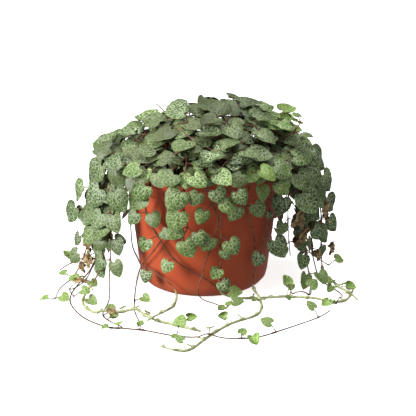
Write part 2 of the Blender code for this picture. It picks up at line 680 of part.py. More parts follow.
def grow_leaves(vine, index, size, obstacles, rng):
    """A pair of leaves, or one where the size is negative, placed where there is room for them."""
    point, tangent = vine.points[index], vine.tangent(index)
    facing, _ = facing_and_tip(point, Vector())
    spread = facing.cross(tangent)
    if spread.length < 0.2:
        spread = tangent.orthogonal()
    spread.normalize()
    single = size < 0
    back = (tangent * facing.dot(tangent) - facing).normalized()
    own = Obstacles()
    own.add(*vine.stem())
    grown = []
    right = 1 if tangent.cross(back).dot(spread) > 0 else STEM_SIDES - 1
    for face in ((right, STEM_SIDES - right) if not single else (rng.choice((1, 2)),)):
        side = spread if face == right else -spread
        for attempt in range(LEAF_TRIES):
            leaf = leaf_try(point, tangent, side, abs(size) * MM, single, attempt, rng)
            slab = leaf_slab(leaf)
            away = (leaf[0] - point).normalized()
            stalk = rod(point + away * (1.3 * STEM_RADIUS), leaf[0] - away * STEM_RADIUS, STEM_RADIUS * 1.3)
            if min(corner.z for corner in slab[0]) < 0:
                continue
            if obstacles.hit_by(*slab) or own.hit_by(*slab) or obstacles.hit_by(*stalk):
                continue
            grown.append((leaf, face))
            body = leaf_body(leaf)
            obstacles.add(*body)
            obstacles.add(*stalk)
            break
    if grown:
        vine.leaves[index] = (back, grown)


def leaf_try(point, tangent, side, size, single, attempt, rng):
    """One way for a leaf to sit: (notch, direction to the tip, direction it faces, length)."""
    loose = 0.12 + 0.05 * attempt
    jitter = Vector([rng.uniform(-loose, loose) for _ in range(3)])
    facing, tip = facing_and_tip(point, side)
    facing = (facing + jitter).normalized()
    tip = tip + Vector([rng.uniform(-loose, loose) for _ in range(3)])
    tip = (tip - facing * tip.dot(facing)).normalized()
    lift = 0.55 if single else 0.4
    stalk = side * (0.25 if single else 1) + facing * (lift + 0.1 * rng.random()) + tip * 0.35
    stalk = stalk - tangent * stalk.dot(tangent) * 0.5
    length = size * (1 - 0.018 * attempt)
    reach = (STALK_LENGTH + 0.17 * length) * (0.6 if single else 1) * rng.uniform(0.9, 1.25)
    return point + stalk.normalized() * reach, tip, facing, length


# ---------------------------------------------------------------- the whole plant

def rise_and_cross(bearing, gap, rise):
    """The stations of a hanging vine's first stretch, from the soil up through the crown and over the rim."""
    lean = 7 if gap > -24 else -8
    high, middle, low = RIM_LEAVES
    return (
        (bearing + lean, gap - 4, SOIL),
        (bearing + lean, gap - 2, 1.0),
        (bearing + lean * 0.7, gap * 0.72, rise, high),
        (bearing, gap * 0.3, 0.4 + 0.6 * rise, middle),
        (bearing, 3, 1.055, low),
    )


def hanging_vines(group, family, rng, sizes=None):
    vines = []
    for number, (bearing, gap, rise, below) in enumerate(family, 1):
        first = rise_and_cross(bearing, gap, rise)
        stations = first + below
        points, knots = smooth_route([place(*station[:3]) for station in stations])
        nodes = [(knot, station[3]) for knot, station in zip(knots, stations) if len(station) == 4]
        if sizes:
            nodes += dressed(points, knots[len(first) - 1], rng, *sizes)
        vines.append((f"vine_{group}_{number}", points, nodes))
    return vines


def leaning(bearing, gap, level, *size):
    """A crown station raised on the right of the mound and lowered on the left."""
    return (bearing, gap, level + CROWN_LEAN * math.sin(math.radians(bearing)), *size)


def crown_vines(rng):
    routes = []
    for ring, (count, gap, stations) in enumerate(CROWN_RINGS):
        for number in range(count):
            bearing = 360 * (number + ring / 3) / count + rng.uniform(-6, 6)
            lift = rng.uniform(-0.03, 0.03)
            turned_on = [(bearing + turn, out, level + lift, *size) for turn, out, level, *size in stations]
            routes.append([(bearing, gap, SOIL), *(leaning(*station) for station in turned_on)])
    routes += [[(*root, SOIL), *stations] for root, stations in SPRIGS]
    vines = []
    for number, route in enumerate(routes, 1):
        points, knots = smooth_route([place(*station[:3]) for station in route])
        nodes = [(knot, station[3]) for knot, station in zip(knots, route) if len(station) == 4]
        vines.append((f"vine_crown_{number}", points, nodes))
    return vines


def build_plant(pot_shape, soil_shape):
    rng = random.Random(SEED)
    planned = hanging_vines("front", FRONT_VINES, rng)
    planned += hanging_vines("left", LEFT_VINES, rng, SIDE_LEAVES)
    planned += hanging_vines("right", RIGHT_VINES, rng, SIDE_LEAVES)
    planned += hanging_vines("back", BACK_VINES, rng, BACK_LEAVES)
    planned += crown_vines(rng)
    vines, stems = [], []
    obstacles = Obstacles()
    obstacles.add(*pot_shape)
    obstacles.add(*soil_shape)
    for name, route, nodes in planned:
        for turn, spare in STEM_TRIES:
            room = 2 * STEM_RADIUS + STEM_CLEARANCE + spare * STEM_SAG
            turned_route = [Matrix.Rotation(math.radians(turn), 3, "Z") @ point for point in route]
            clear = [kept_clear_of_pot(point) for point in turned_route]
            vine = Vine(name, parted(clear, stems, room), nodes)
            if not obstacles.hit_by(*vine.stem()):
                break
        else:
            print(f"{name} touches another piece")
        stems.append([vine.points[index] for index in vine.keep])
        obstacles.add(*vine.stem())
        vines.append(vine)
    for vine in vines:
        own_stem = obstacles.items.pop(2)
        for index, size in vine.nodes:
            grow_leaves(vine, index, size, obstacles, rng)
        obstacles.items.append(own_stem)
    finished = [BVHTree.FromPolygons(*shape) for shape in (pot_shape, soil_shape)]
    bare = [BVHTree.FromPolygons(*vine.stem()) for vine in vines]
    for number, vine in enumerate(vines, 1):
        shape = vine.body(finished + bare[number:])
        finished.append(BVHTree.FromPolygons(*shape))
        solid(vine.name, *shape, plain_material(f"{vine.name}_green", LEAF_GREEN, 0.6), 60)
    count = sum(len(leaves) for vine in vines for _, leaves in vine.leaves.values())
    print(f"{len(vines)} vines, {count} leaves")


def main():
    for item in list(bpy.data.objects):
        bpy.data.objects.remove(item, do_unlink=True)
    pot_shape = turned(pot_profile())
    soil_shape = turned(soil_profile())
    pot = solid("pot", *pot_shape, plain_material("terracotta_plastic", CLAY, 0.55))
    cut_drains(pot)
    solid("soil", *soil_shape, plain_material("potting_soil", EARTH, 0.95))
    build_plant(pot_shape, soil_shape)


main()
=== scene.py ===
# %% [markdown]
# # A string of hearts in its nursery pot
#
# Ceropegia woodii is a trailing plant. Thin stems rise out of the soil, lie over each other in a mound above the
# rim, fall over it all round and run on along the surface that the pot stands on. At every knot of a stem sit two
# heart-shaped leaves, fleshy and marbled with silver. This lesson dresses a plain solid model of such a plant:
# each solid tells where its piece is, and the cells below make the piece that is seen there.

# %% The plain model
import math
import random

import bmesh
import bpy
from mathutils import Matrix, Vector
from mathutils.bvhtree import BVHTree
from mathutils.kdtree import KDTree


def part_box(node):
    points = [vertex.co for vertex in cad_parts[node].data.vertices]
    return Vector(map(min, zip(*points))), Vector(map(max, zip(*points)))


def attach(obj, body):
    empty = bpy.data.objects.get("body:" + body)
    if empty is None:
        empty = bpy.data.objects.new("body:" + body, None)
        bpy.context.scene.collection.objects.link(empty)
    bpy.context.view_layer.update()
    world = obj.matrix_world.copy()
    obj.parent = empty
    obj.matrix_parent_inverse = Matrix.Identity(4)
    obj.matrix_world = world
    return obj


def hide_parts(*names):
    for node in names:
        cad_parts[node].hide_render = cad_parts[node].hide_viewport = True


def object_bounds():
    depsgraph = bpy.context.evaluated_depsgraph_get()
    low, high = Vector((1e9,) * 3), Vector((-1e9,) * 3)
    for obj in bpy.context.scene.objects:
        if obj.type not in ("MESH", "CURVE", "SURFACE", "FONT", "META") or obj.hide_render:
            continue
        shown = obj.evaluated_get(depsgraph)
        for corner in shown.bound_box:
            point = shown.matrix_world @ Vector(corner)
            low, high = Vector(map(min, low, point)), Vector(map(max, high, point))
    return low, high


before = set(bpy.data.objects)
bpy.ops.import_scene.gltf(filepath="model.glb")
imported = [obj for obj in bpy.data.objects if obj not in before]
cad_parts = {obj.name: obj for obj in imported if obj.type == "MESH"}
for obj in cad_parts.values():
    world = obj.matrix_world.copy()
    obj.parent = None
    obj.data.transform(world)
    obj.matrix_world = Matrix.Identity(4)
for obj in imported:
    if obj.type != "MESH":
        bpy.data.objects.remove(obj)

cad_low, cad_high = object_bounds()
MM = 0.001
UP = Vector((0, 0, 1))
vine_nodes = sorted(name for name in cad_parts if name.startswith("vine_"))
print(len(vine_nodes), "vines; the plant is", [round(side / MM) for side in cad_high - cad_low], "mm")

# %% [markdown]
# ## The camera, the floor and the light
#
# A picture of a product is usually taken from a little above, with a long lens so that the pot's sides stay
# nearly straight. The camera's place and lens come first, because every later choice is judged through it. The
# floor and the sky are almost white. A big soft lamp on the left models the pot, and a weaker one overhead lights
# the mound and keeps the shaded side from going black. The floor glows a little, so that it stays pale, and lends
# the object neither light nor reflections.

# %% The camera
CAMERA_PLACE = (0.00306, -0.8, 0.3248)
CAMERA_TILT = 0.329
CAMERA_LENS = 101.9

bpy.ops.object.select_all(action="DESELECT")
bpy.ops.object.camera_add(location=CAMERA_PLACE, rotation=(math.pi / 2 - CAMERA_TILT, 0, 0))
camera = bpy.context.object
camera.data.lens = CAMERA_LENS
camera.data.clip_start = 0.01
bpy.context.scene.camera = camera
print("lens", camera.data.lens, "mm")


# %% Helpers for nodes
def linear(red, green, blue):
    """A colour picked on a screen, from 0 to 255, as the light that a shader works with."""
    shares = (level / 255 for level in (red, green, blue))
    return (*(s / 12.92 if s <= 0.04045 else ((s + 0.055) / 1.055) ** 2.4 for s in shares), 1)


def node(tree, kind, settings=None, sockets=None):
    """A new node with its settings, and its inputs either linked or set."""
    made = tree.nodes.new(kind)
    for name, value in (settings or {}).items():
        setattr(made, name, value)
    for key, value in (sockets or {}).items():
        if isinstance(value, bpy.types.NodeSocket):
            tree.links.new(value, made.inputs[key])
        else:
            made.inputs[key].default_value = value
    return made


def maths(tree, operation, *values):
    """The result of one sum on numbers or sockets."""
    return node(tree, "ShaderNodeMath", {"operation": operation}, dict(enumerate(values))).outputs[0]


def eased(tree, value, start, end, low=0.0, high=1.0):
    """The value carried smoothly from low to high as it goes from start to end."""
    sockets = {0: value, 1: start, 2: end, 3: low, 4: high}
    return node(tree, "ShaderNodeMapRange", {"interpolation_type": "SMOOTHSTEP"}, sockets).outputs[0]


def blended(tree, share, first, second, kind="MIX"):
    """Two colours mixed by a share."""
    settings = {"data_type": "RGBA", "blend_type": kind}
    return node(tree, "ShaderNodeMix", settings, {0: share, 6: first, 7: second}).outputs[2]


def new_material(name, **finish):
    """A material, its node tree and its Principled shader with the given plain values."""
    material = bpy.data.materials.new(name)
    material.use_nodes = True
    tree = material.node_tree
    shader = tree.nodes["Principled BSDF"]
    for socket, value in finish.items():
        shader.inputs[socket.replace("_", " ")].default_value = value
    return material, tree, shader


def new_group(name, inputs, outputs):
    """An empty shader node group, with its own input and output nodes."""
    tree = bpy.data.node_groups.new(name, "ShaderNodeTree")
    for title, kind, value in inputs:
        socket = tree.interface.new_socket(title, in_out="INPUT", socket_type=kind)
        if value is not None:
            socket.default_value = value
    for title, kind in outputs:
        tree.interface.new_socket(title, in_out="OUTPUT", socket_type=kind)
    return tree, tree.nodes.new("NodeGroupInput"), tree.nodes.new("NodeGroupOutput")


def grouped(tree, group, **inputs):
    """A copy of a group in a material."""
    return node(tree, "ShaderNodeGroup", {"node_tree": group}, inputs)


# %% The floor and the light
FLOOR_SIZE = 8
FLOOR_COLOUR = linear(250, 250, 249)
SKY_COLOUR = linear(252, 252, 252)
SKY_STRENGTH = 0.34
FLOOR_GLOW = 0.85

bpy.ops.object.select_all(action="DESELECT")
bpy.ops.mesh.primitive_plane_add(size=FLOOR_SIZE, location=(0, 0, 0))
floor = bpy.context.object
floor.name = "floor"
material, tree, shader = new_material(
    "pale_floor", Base_Color=FLOOR_COLOUR, Roughness=0.9, Emission_Color=FLOOR_COLOUR, Emission_Strength=FLOOR_GLOW)
floor.data.materials.append(material)
floor.visible_diffuse = False
floor.visible_glossy = False

world = bpy.data.worlds.new("studio")
world.use_nodes = True
world.node_tree.nodes["Background"].inputs["Color"].default_value = SKY_COLOUR
world.node_tree.nodes["Background"].inputs["Strength"].default_value = SKY_STRENGTH
bpy.context.scene.world = world
bpy.context.scene.view_settings.view_transform = "Standard"


def soft_lamp(name, place, aim, size, power):
    """A square lamp that looks at a point."""
    bpy.ops.object.light_add(type="AREA", location=place)
    lamp = bpy.context.object
    lamp.name = name
    lamp.data.shape = "SQUARE"
    lamp.data.size = size
    lamp.data.energy = power
    lamp.rotation_euler = (Vector(aim) - Vector(place)).to_track_quat("-Z", "Y").to_euler()


POT_MIDDLE = (0, 0, 0.06)
soft_lamp("key_lamp", (-1.0, -0.5, 0.5), POT_MIDDLE, 0.5, 19)
soft_lamp("top_lamp", (0.1, -0.1, 1.1), POT_MIDDLE, 0.7, 9)
print("two lamps and a pale sky")

# %% [markdown]
# ## The nursery pot
#
# The pot is one thin moulding of terracotta-coloured plastic: a foot with a raised gutter and six drain holes, a
# rounded shoulder, a tapered wall and a deep collar that stiffens the rim. It could be turned from a profile, but
# a thin vessel is just as quickly drawn upwards from a disc: extrude and scale, ring after ring, over the lip and
# down the inside again. The outside sizes are felt on the plain model with rays, so the two agree.


# %% Helpers for modelling
def only(item):
    """Makes one object the selected and active one."""
    bpy.ops.object.select_all(action="DESELECT")
    item.select_set(True)
    bpy.context.view_layer.objects.active = item
    return item


def pick(item, kind, test):
    """Selects the vertices or faces that pass a test, in edit mode, and nothing else."""
    bpy.ops.mesh.select_mode(type=kind)
    bpy.ops.mesh.select_all(action="DESELECT")
    shape = bmesh.from_edit_mesh(item.data)
    for part in shape.verts if kind == "VERT" else shape.faces:
        part.select_set(test(part))
    shape.select_flush_mode()
    bmesh.update_edit_mesh(item.data)


def cleaned(item, merge=0.005 * MM, smooth=35):
    """Merges doubles, turns the faces outwards and shades what is round smoothly."""
    only(item)
    bpy.ops.object.mode_set(mode="EDIT")
    bpy.ops.mesh.select_all(action="SELECT")
    bpy.ops.mesh.remove_doubles(threshold=merge)
    bpy.ops.mesh.normals_make_consistent(inside=False)
    bpy.ops.object.mode_set(mode="OBJECT")
    bpy.ops.object.shade_smooth_by_angle(angle=math.radians(smooth))
    return item


def apply_modifier(item, kind, **settings):
    """Adds a modifier and applies it at once."""
    only(item)
    modifier = item.modifiers.new(kind.lower(), kind)
    for name, value in settings.items():
        setattr(modifier, name, value)
    bpy.ops.object.modifier_apply(modifier=modifier.name)


def skin_of(name):
    """A plain solid's surface, ready for rays."""
    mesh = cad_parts[name].data
    return BVHTree.FromPolygons([c.co for c in mesh.vertices], [tuple(f.vertices) for f in mesh.polygons])


pot_skin, soil_skin = skin_of("pot"), skin_of("soil")
FAR = 0.2


def wall_at(height):
    """The plain pot's outside radius at a height."""
    return pot_skin.ray_cast(Vector((FAR, FAR / 500, height)), Vector((-1, 0, 0)))[0].xy.length


# %% The pot's shell
POT_SIDES = 96
WALL = 1.3 * MM
POT_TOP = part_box("pot")[1].z
COLLAR_FOOT = 73 * MM
SHOULDER_TOP = 8.5 * MM
FOOT_WIDTH = 6 * MM
GUTTER_DEPTH = 2.2 * MM
CENTRE_PAD = 15 * MM
outside_heights = [1.14 * MM, 4.25 * MM, SHOULDER_TOP, 0.4 * COLLAR_FOOT, 0.7 * COLLAR_FOOT,
                   COLLAR_FOOT, COLLAR_FOOT + 0.6 * MM, 0.5 * (COLLAR_FOOT + POT_TOP), POT_TOP - 0.1 * MM]
RIM = wall_at(POT_TOP - 0.1 * MM)
FOOT = wall_at(0.02 * MM)


def draw_up(radius_now, radius_next, rise):
    """Extrudes the selected disc and scales it to its next radius."""
    bpy.ops.mesh.extrude_region_move(TRANSFORM_OT_translate={"value": (0, 0, rise)})
    share = radius_next / radius_now
    bpy.ops.transform.resize(value=(share, share, 1), center_override=(0, 0, 0))


bpy.ops.object.select_all(action="DESELECT")
bpy.ops.mesh.primitive_circle_add(vertices=POT_SIDES, radius=FOOT, fill_type="NGON")
pot = bpy.context.object
pot.name = "pot_shell"
bpy.ops.object.mode_set(mode="EDIT")
pick(pot, "FACE", lambda face: True)
height, radius = 0, FOOT
for next_height in outside_heights:
    next_radius = wall_at(next_height)
    draw_up(radius, next_radius, next_height - height)
    height, radius = next_height, next_radius
draw_up(radius, radius - WALL, 0)
radius -= WALL
inside = [(h, wall_at(h) - WALL) for h in outside_heights[::-1][1:-1]] + [(GUTTER_DEPTH + WALL, FOOT)]
for next_height, next_radius in inside:
    draw_up(radius, next_radius, next_height - height)
    height, radius = next_height, next_radius
bpy.ops.object.mode_set(mode="OBJECT")
print("pale_edge_and_highlight", round(RIM / MM, 1), "mm, foot", round(FOOT / MM, 1), "mm,", len(pot.data.polygons), "faces")

# %% The foot's gutter and the drain holes
DRAINS = 6
DRAIN_RADIUS = 3 * MM
bpy.ops.object.mode_set(mode="EDIT")
if not any(face.normal.z < -0.9 and face.calc_center_median().z < 0.01 * MM
           for face in bmesh.from_edit_mesh(pot.data).faces):
    pick(pot, "VERT", lambda corner: corner.co.z < 0.01 * MM)
    bpy.ops.mesh.edge_face_add()
pick(pot, "FACE", lambda face: abs(face.calc_center_median().z) < 0.01 * MM and len(face.verts) == POT_SIDES)
bpy.ops.mesh.inset(thickness=FOOT_WIDTH, depth=0)
bpy.ops.mesh.inset(thickness=WALL, depth=0)
bpy.ops.transform.translate(value=(0, 0, GUTTER_DEPTH))
gutter_inner = CENTRE_PAD + WALL
bpy.ops.mesh.inset(thickness=FOOT - FOOT_WIDTH - WALL - gutter_inner, depth=0)
bpy.ops.mesh.inset(thickness=WALL, depth=0)
bpy.ops.transform.translate(value=(0, 0, -GUTTER_DEPTH))
bpy.ops.object.mode_set(mode="OBJECT")
cleaned(pot)
apply_modifier(pot, "BEVEL", width=0.35 * MM, segments=2, limit_method="ANGLE", angle_limit=math.radians(40))

for number in range(DRAINS):
    turn = math.tau * (number + 0.5) / DRAINS
    middle = (CENTRE_PAD + FOOT - FOOT_WIDTH) / 2
    bpy.ops.object.select_all(action="DESELECT")
    bpy.ops.mesh.primitive_cylinder_add(
        vertices=24, radius=DRAIN_RADIUS, depth=8 * WALL,
        location=(middle * math.cos(turn), middle * math.sin(turn), GUTTER_DEPTH + WALL / 2))
    drill = bpy.context.object
    apply_modifier(pot, "BOOLEAN", operation="DIFFERENCE", object=drill)
    bpy.data.objects.remove(drill)
cleaned(pot)
print(len(pot.data.polygons), "faces in the finished pot")

# %% [markdown]
# ## The pot's finish
#
# Moulded plastic isn't one flat colour. It has a faint mottle from the granulate, a satin skin with a fine
# orange-peel bump, paler edges where pots rub against each other, and dust and splashes of soil near the foot.
# Edges are found by comparing the surface's normal with a bevelled one, and the same mottle is used on the soil
# and the stems, so it is a node group.

# %% A shared effect: the mottle
tree, given, result = new_group(
    "mottle", [("Scale", "NodeSocketFloat", 40.0), ("Contrast", "NodeSocketFloat", 1.0)],
    [("Mask", "NodeSocketFloat"), ("Fine", "NodeSocketFloat")])
place = node(tree, "ShaderNodeTexCoord").outputs["Object"]
broad = node(tree, "ShaderNodeTexNoise", None, {"Vector": place, "Scale": given.outputs["Scale"], "Detail": 4.0})
fine_scale = maths(tree, "MULTIPLY", given.outputs["Scale"], 14.0)
fine = node(tree, "ShaderNodeTexNoise", None, {"Vector": place, "Scale": fine_scale, "Detail": 2.0})
centred = maths(tree, "SUBTRACT", broad.outputs[0], 0.5)
stretched = maths(tree, "MULTIPLY_ADD", centred, given.outputs["Contrast"], 0.5)
tree.links.new(node(tree, "ShaderNodeClamp", None, {0: stretched}).outputs[0], result.inputs["Mask"])
tree.links.new(fine.outputs[0], result.inputs["Fine"])
mottle = tree

# %% The terracotta-coloured plastic
material, tree, shader = new_material("terracotta_plastic", Roughness=0.5, Specular_IOR_Level=0.25)
marks = grouped(tree, mottle, Scale=26.0, Contrast=2.2)
grain = grouped(tree, mottle, Scale=420.0, Contrast=1.0)
colour = blended(tree, marks.outputs["Mask"], linear(182, 78, 46), linear(197, 91, 56))
place = node(tree, "ShaderNodeTexCoord").outputs["Object"]
height = node(tree, "ShaderNodeSeparateXYZ", None, {0: place}).outputs["Z"]
near_foot = eased(tree, height, 16 * MM, 0.0)
splash = grouped(tree, mottle, Scale=95.0, Contrast=6.0)
dust = maths(tree, "MULTIPLY", near_foot, maths(tree, "MULTIPLY", splash.outputs["Mask"], 0.32))
colour = blended(tree, dust, colour, linear(150, 104, 78))
bevelled = node(tree, "ShaderNodeBevel", {"samples": 4}, {"Radius": 0.8 * MM}).outputs[0]
plain = node(tree, "ShaderNodeNewGeometry").outputs["Normal"]
sameness = node(tree, "ShaderNodeVectorMath", {"operation": "DOT_PRODUCT"}, {0: bevelled, 1: plain}).outputs["Value"]
rubbed = maths(tree, "MULTIPLY", eased(tree, sameness, 0.995, 0.93), 0.35)
colour = blended(tree, rubbed, colour, linear(222, 134, 98))
tree.links.new(colour, shader.inputs["Base Color"])
tree.links.new(eased(tree, marks.outputs["Fine"], 0.3, 0.7, 0.42, 0.58), shader.inputs["Roughness"])
peel = node(tree, "ShaderNodeBump", None, {"Strength": 0.12, "Distance": 0.1 * MM, "Height": grain.outputs["Mask"]})
tree.links.new(peel.outputs[0], shader.inputs["Normal"])
pot.data.materials.append(material)
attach(pot, "root")
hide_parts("pot")
print("the pot stands", round(POT_TOP / MM), "mm high")

# %% [markdown]
# ## The soil
#
# The mix is dark and crumbly, with bits of bark, a few white grains of perlite, and a surface that isn't level.
# It could be a displaced disc alone, but its crumbs have to cast shadows where the stems part, so a lumpy bed
# carries loose crumbs, each a small stone copied from one of three.


# %% The bed of soil
CRUMB_KINDS = 3
CRUMBS = 260
soil_low, soil_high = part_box("soil")
rng = random.Random(4)


def soil_surface(x, y):
    """The plain soil's height below a place."""
    return soil_skin.ray_cast(Vector((x, y, FAR)), -UP)[0].z


bed_radius = soil_high.x * 0.998
bpy.ops.object.select_all(action="DESELECT")
bpy.ops.mesh.primitive_cylinder_add(vertices=48, radius=1, depth=1, end_fill_type="TRIFAN")
bed = bpy.context.object
bed.name = "soil_bed"
bpy.ops.object.mode_set(mode="EDIT")
bpy.ops.mesh.select_all(action="DESELECT")
pick(bed, "FACE", lambda face: face.normal.z > 0.5)
bpy.ops.mesh.subdivide(number_cuts=5)
bpy.ops.object.mode_set(mode="OBJECT")
for corner in bed.data.vertices:
    top = corner.co.z > 0
    reach = bed_radius if top else wall_at(soil_low.z) - 1.8 * MM
    corner.co.x, corner.co.y = corner.co.x * reach, corner.co.y * reach
    if top:
        surface = soil_surface(corner.co.x * 0.98, corner.co.y * 0.98)
        inner = 1 - (corner.co.xy.length / bed_radius) ** 6
        corner.co.z = surface + rng.uniform(-1.1, 1.1) * MM * inner
    else:
        corner.co.z = soil_low.z
cleaned(bed, smooth=60)

stones = []
for kind in range(CRUMB_KINDS):
    bpy.ops.object.select_all(action="DESELECT")
    bpy.ops.mesh.primitive_ico_sphere_add(subdivisions=1, radius=1)
    stone = bpy.context.object
    bpy.ops.object.mode_set(mode="EDIT")
    bpy.ops.mesh.select_all(action="SELECT")
    bpy.ops.transform.resize(value=((1, 0.7, 0.55), (1.3, 0.6, 0.4), (0.8, 0.9, 0.6))[kind])
    bpy.ops.transform.vertex_random(offset=0.22, seed=kind)
    bpy.ops.object.mode_set(mode="OBJECT")
    stones.append(stone)
crumbs = []
for number in range(CRUMBS):
    reach, turn = bed_radius * 0.97 * math.sqrt(rng.random()), rng.uniform(0, math.tau)
    x, y = reach * math.cos(turn), reach * math.sin(turn)
    size = rng.uniform(0.6, 2.0) * MM * (1 if reach < 0.9 * bed_radius else 0.6)
    crumb = bpy.data.objects.new("crumb", rng.choice(stones).data.copy())
    where = Vector((x, y, soil_surface(x, y) + 0.25 * size))
    spun = Matrix.Rotation(rng.uniform(0, math.tau), 4, Vector((rng.random(), rng.random(), 1)))
    crumb.data.transform(Matrix.Translation(where) @ spun @ Matrix.Scale(size, 4))
    bpy.context.collection.objects.link(crumb)
    crumbs.append(crumb)
for stone in stones:
    bpy.data.objects.remove(stone)
only(crumbs[0])
for crumb in crumbs:
    crumb.select_set(True)
bpy.ops.object.join()
crumbs = bpy.context.object
crumbs.name = "soil_crumbs"
print("bed", round(bed_radius / MM, 1), "mm across its half,", len(crumbs.data.polygons), "crumb faces")

# %% The soil's finish
material, tree, shader = new_material("potting_soil", Roughness=0.95, Specular_IOR_Level=0.2)
dirt = grouped(tree, mottle, Scale=160.0, Contrast=3.0)
fleck = grouped(tree, mottle, Scale=420.0, Contrast=9.0)
colour = blended(tree, dirt.outputs["Mask"], linear(22, 17, 13), linear(62, 46, 34))
perlite = eased(tree, fleck.outputs["Mask"], 0.93, 1.0)
colour = blended(tree, maths(tree, "MULTIPLY", perlite, 0.7), colour, linear(178, 168, 150))
tree.links.new(colour, shader.inputs["Base Color"])
lumps = node(tree, "ShaderNodeBump", None, {"Strength": 0.8, "Distance": 0.6 * MM, "Height": dirt.outputs["Fine"]})
tree.links.new(lumps.outputs[0], shader.inputs["Normal"])
for piece in (bed, crumbs):
    piece.data.materials.append(material)
    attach(piece, "root")
    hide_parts("soil")

# %% [markdown]
# ## One leaf, modelled once
#
# A leaf is a small fleshy heart, one to two centimetres long and hardly a millimetre thick, with round lobes, a
# narrow notch where the stalk joins, and a short point. Hundreds of them cover the plant, so one is modelled with
# few faces: a disc of sixteen corners is pushed into a heart, copied and turned over for the underside, inset and
# poked on both sides, and welded along its thin edge. The other forms come from it by lifting its rim, its tip or
# its middle: domed, cupped, folded, drooping, wavy and shrivelled.

# %% The heart's outline
# Half of the outline from the notch down to the tip, as (across, along) shares of the leaf's length.
HALF_HEART = ((0, 0), (0.11, -0.10), (0.25, -0.16), (0.41, -0.09), (0.50, 0.10),
              (0.47, 0.34), (0.35, 0.56), (0.18, 0.74), (0, 0.86))
LEAF_CORNERS = 2 * (len(HALF_HEART) - 1)
LEAF_MARGIN = 0.13
LEAF_TOP = 0.035
LEAF_UNDER = 0.02


def heart_corner(x, y):
    """Where a corner of the starting disc goes on the heart."""
    turn = math.atan2(abs(x), -y)
    across, along = HALF_HEART[round(turn / math.pi * (len(HALF_HEART) - 1))]
    return Vector((math.copysign(across, x) if across else 0, along, 0))


def move(item, test, by):
    """Moves the vertices that pass a test."""
    pick(item, "VERT", test)
    bpy.ops.transform.translate(value=by)


bpy.ops.object.select_all(action="DESELECT")
bpy.ops.mesh.primitive_circle_add(vertices=LEAF_CORNERS, radius=0.5, fill_type="NGON")
leaf = bpy.context.object
leaf.name = "leaf"
starts = [corner.co.copy() for corner in leaf.data.vertices]
bpy.ops.object.mode_set(mode="EDIT")
for number, start in enumerate(starts):
    bmesh.from_edit_mesh(leaf.data).verts.ensure_lookup_table()
    move(leaf, lambda corner: corner.index == number, heart_corner(start.x, start.y) - start)
bpy.ops.mesh.select_all(action="SELECT")
bpy.ops.mesh.duplicate()
bpy.ops.mesh.flip_normals()
for looks, lift in ((1, LEAF_TOP), (-1, -LEAF_UNDER)):
    pick(leaf, "FACE", lambda face: face.normal.z * looks > 0.5 and len(face.verts) == LEAF_CORNERS)
    bpy.ops.mesh.inset(thickness=LEAF_MARGIN)
    bpy.ops.transform.translate(value=(0, 0, lift))
    bpy.ops.mesh.poke()
bpy.ops.object.mode_set(mode="OBJECT")
cleaned(leaf, merge=0.0001, smooth=70)
print(len(leaf.data.polygons), "faces in a leaf,", len(leaf.data.vertices), "corners")

# %% What the finish needs to know about a leaf
# Each corner remembers its place on the flat blade, the side that it is on and whether it is on the edge.
leaf.data.attributes.new("blade", "FLOAT_VECTOR", "POINT")
leaf.data.attributes.new("margin", "FLOAT", "POINT")
for corner in leaf.data.vertices:
    leaf.data.attributes["blade"].data[corner.index].vector = corner.co
    leaf.data.attributes["margin"].data[corner.index].value = 1 if abs(corner.co.z) < 0.001 else 0

# %% Its other forms
EDGE = 0.001


def on_edge(corner):
    return abs(blade_of(corner).z) < EDGE


def blade_of(corner):
    """A corner's place on the flat leaf, which stays the same while the form is pushed about."""
    return flat_places[corner.index]


flat_places = [corner.co.copy() for corner in leaf.data.vertices]
FORMS = {
    "domed": ((on_edge, (0, 0, -0.05)), (lambda c: blade_of(c).y > 0.5, (0, 0, -0.05))),
    "cupped": ((on_edge, (0, 0, 0.09)), (lambda c: abs(blade_of(c).x) > 0.3, (0, 0, 0.07))),
    "folded": ((lambda c: abs(blade_of(c).x) > 0.2, (0, 0, 0.06)),
               (lambda c: abs(blade_of(c).x) > 0.35, (0, 0, 0.08)),
               (lambda c: blade_of(c).y > 0.7, (0, 0, -0.05))),
    "drooping": ((lambda c: blade_of(c).y > 0.3, (0, 0, -0.07)), (lambda c: blade_of(c).y > 0.6, (0, -0.02, -0.1)),
                 (lambda c: on_edge(c) and abs(blade_of(c).x) > 0.3, (0, 0, -0.04))),
    "wavy": ((lambda c: on_edge(c) and blade_of(c).x * blade_of(c).y > 0.05, (0, 0, 0.08)),
             (lambda c: on_edge(c) and blade_of(c).x * blade_of(c).y < -0.02, (0, 0, -0.07)),
             (lambda c: blade_of(c).y > 0.7, (0.03, 0, -0.06))),
    "spoon": ((on_edge, (0, 0, 0.16)), (lambda c: on_edge(c) and abs(blade_of(c).x) > 0.3, (0, 0, 0.12)),
              (lambda c: on_edge(c) and blade_of(c).x > 0.3, (-0.06, 0, 0)),
              (lambda c: on_edge(c) and blade_of(c).x < -0.3, (0.06, 0, 0))),
    "shrivelled": ((lambda c: blade_of(c).x > 0.2, (-0.14, 0, 0.22)), (lambda c: blade_of(c).x < -0.2, (0.2, 0, 0.12)),
                   (lambda c: blade_of(c).y > 0.5, (0.05, -0.1, -0.2)), (lambda c: blade_of(c).y < 0, (0, 0, 0.12))),
}
forms = {}
for name, pushes in FORMS.items():
    form = bpy.data.objects.new(f"leaf_{name}", leaf.data.copy())
    bpy.context.collection.objects.link(form)
    only(form)
    bpy.ops.object.mode_set(mode="EDIT")
    for test, by in pushes:
        move(form, test, by)
    bpy.ops.object.mode_set(mode="OBJECT")
    forms[name] = form.data
    bpy.data.objects.remove(form)
forms["flat"] = leaf.data.copy()
bpy.data.objects.remove(leaf)
print(sorted(forms))

